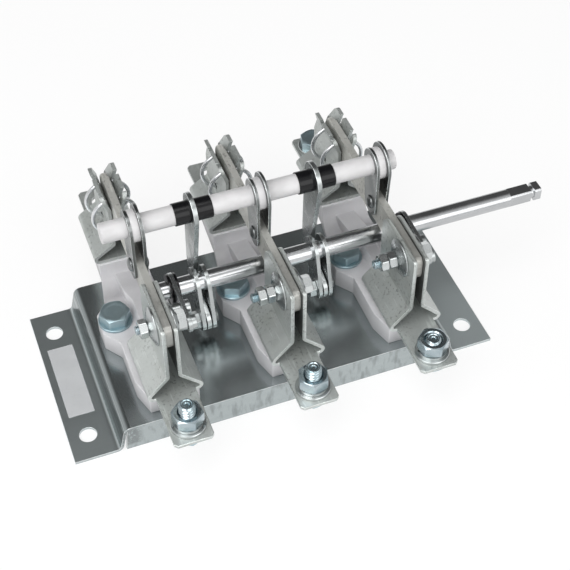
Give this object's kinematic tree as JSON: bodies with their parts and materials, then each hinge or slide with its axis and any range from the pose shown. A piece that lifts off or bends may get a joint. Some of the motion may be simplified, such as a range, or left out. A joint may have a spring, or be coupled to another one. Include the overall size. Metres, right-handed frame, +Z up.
{
  "type": "three-pole knife disconnector switch",
  "caption": "Low-voltage knife disconnector on a pressed mounting plate: blades on insulators swing out of spring jaws, driven by a shaft, levers, hooked links and an insulating rod.",
  "frame": {"origin": "centre of the four mounting holes, on the underside of the flanges", "axes": "+X along the shaft towards its free end, +Y towards the jaws, +Z up from the mounting face"},
  "size_m": [0.3374, 0.2235, 0.1245],
  "materials": {
    "zinc_sheet": "galvanised sheet, soft sheen",
    "moulding": "moulded, matt",
    "tinned_copper": "tin-plated, satin",
    "spring_steel": "drawn wire, plated",
    "zinc_steel": "zinc-plated",
    "blue_zinc": "blue-passivated zinc",
    "bright_steel": "bright zinc-plated bar",
    "white_plastic": "smooth white",
    "black_plastic": "black"
  },
  "bodies": {
    "frame": {"base_plate": "zinc_sheet", "insulator_1": "moulding", "insulator_2": "moulding", "insulator_3": "moulding", "fixing_bolts": "blue_zinc", "hinge_contact_1": "tinned_copper", "hinge_contact_2": "tinned_copper", "hinge_contact_3": "tinned_copper", "jaw_contact_1": "tinned_copper", "jaw_contact_2": "tinned_copper", "jaw_contact_3": "tinned_copper", "jaw_springs_1": "spring_steel", "jaw_springs_2": "spring_steel", "jaw_springs_3": "spring_steel", "hinge_bolt_1": "zinc_steel", "hinge_bolt_2": "zinc_steel", "hinge_bolt_3": "zinc_steel", "hinge_nuts": "zinc_steel", "cone_washers": "zinc_steel", "terminal_bolts": "blue_zinc", "terminal_nuts": "blue_zinc", "spring_washers": "zinc_steel", "flat_washers": "zinc_steel", "bearing_plate_left": "zinc_steel", "bearing_plate_right": "zinc_steel", "bearing_studs": "zinc_steel"},
    "drive": {"drive_shaft": "bright_steel", "levers_1": "zinc_steel", "levers_2": "zinc_steel", "lever_pins": "zinc_steel", "retaining_rings": "black_plastic"},
    "knives": {"blade_1": "tinned_copper", "blade_2": "tinned_copper", "blade_3": "tinned_copper", "rod_brackets_1": "zinc_steel", "rod_brackets_2": "zinc_steel", "rod_brackets_3": "zinc_steel", "bracket_rivets": "zinc_steel", "rod_spacers": "white_plastic", "insulating_rod": "white_plastic", "rod_sleeves": "black_plastic"},
    "links": {"link_1": "zinc_steel", "link_2": "zinc_steel"}
  },
  "joints": [
    {"name": "drive_turn", "type": "hinge", "parent": "frame", "child": "drive", "pos_m": [0, 0.003, 0.059], "axis": [1, 0, 0], "range_deg": [0, 120]},
    {"name": "knife_swing", "type": "hinge", "parent": "frame", "child": "knives", "pos_m": [0, -0.04, 0.08], "axis": [1, 0, 0], "range_deg": [0, 28.2]},
    {"name": "link_swing", "type": "hinge", "parent": "knives", "child": "links", "pos_m": [0, 0.012, 0.1115], "axis": [1, 0, 0], "range_deg": [0, 13.5]}
  ],
  "couplings": [
    {"joint": "knife_swing", "follows": "drive_turn", "ratio": 0.23479},
    {"joint": "link_swing", "follows": "drive_turn", "ratio": 0.11181}
  ]
}
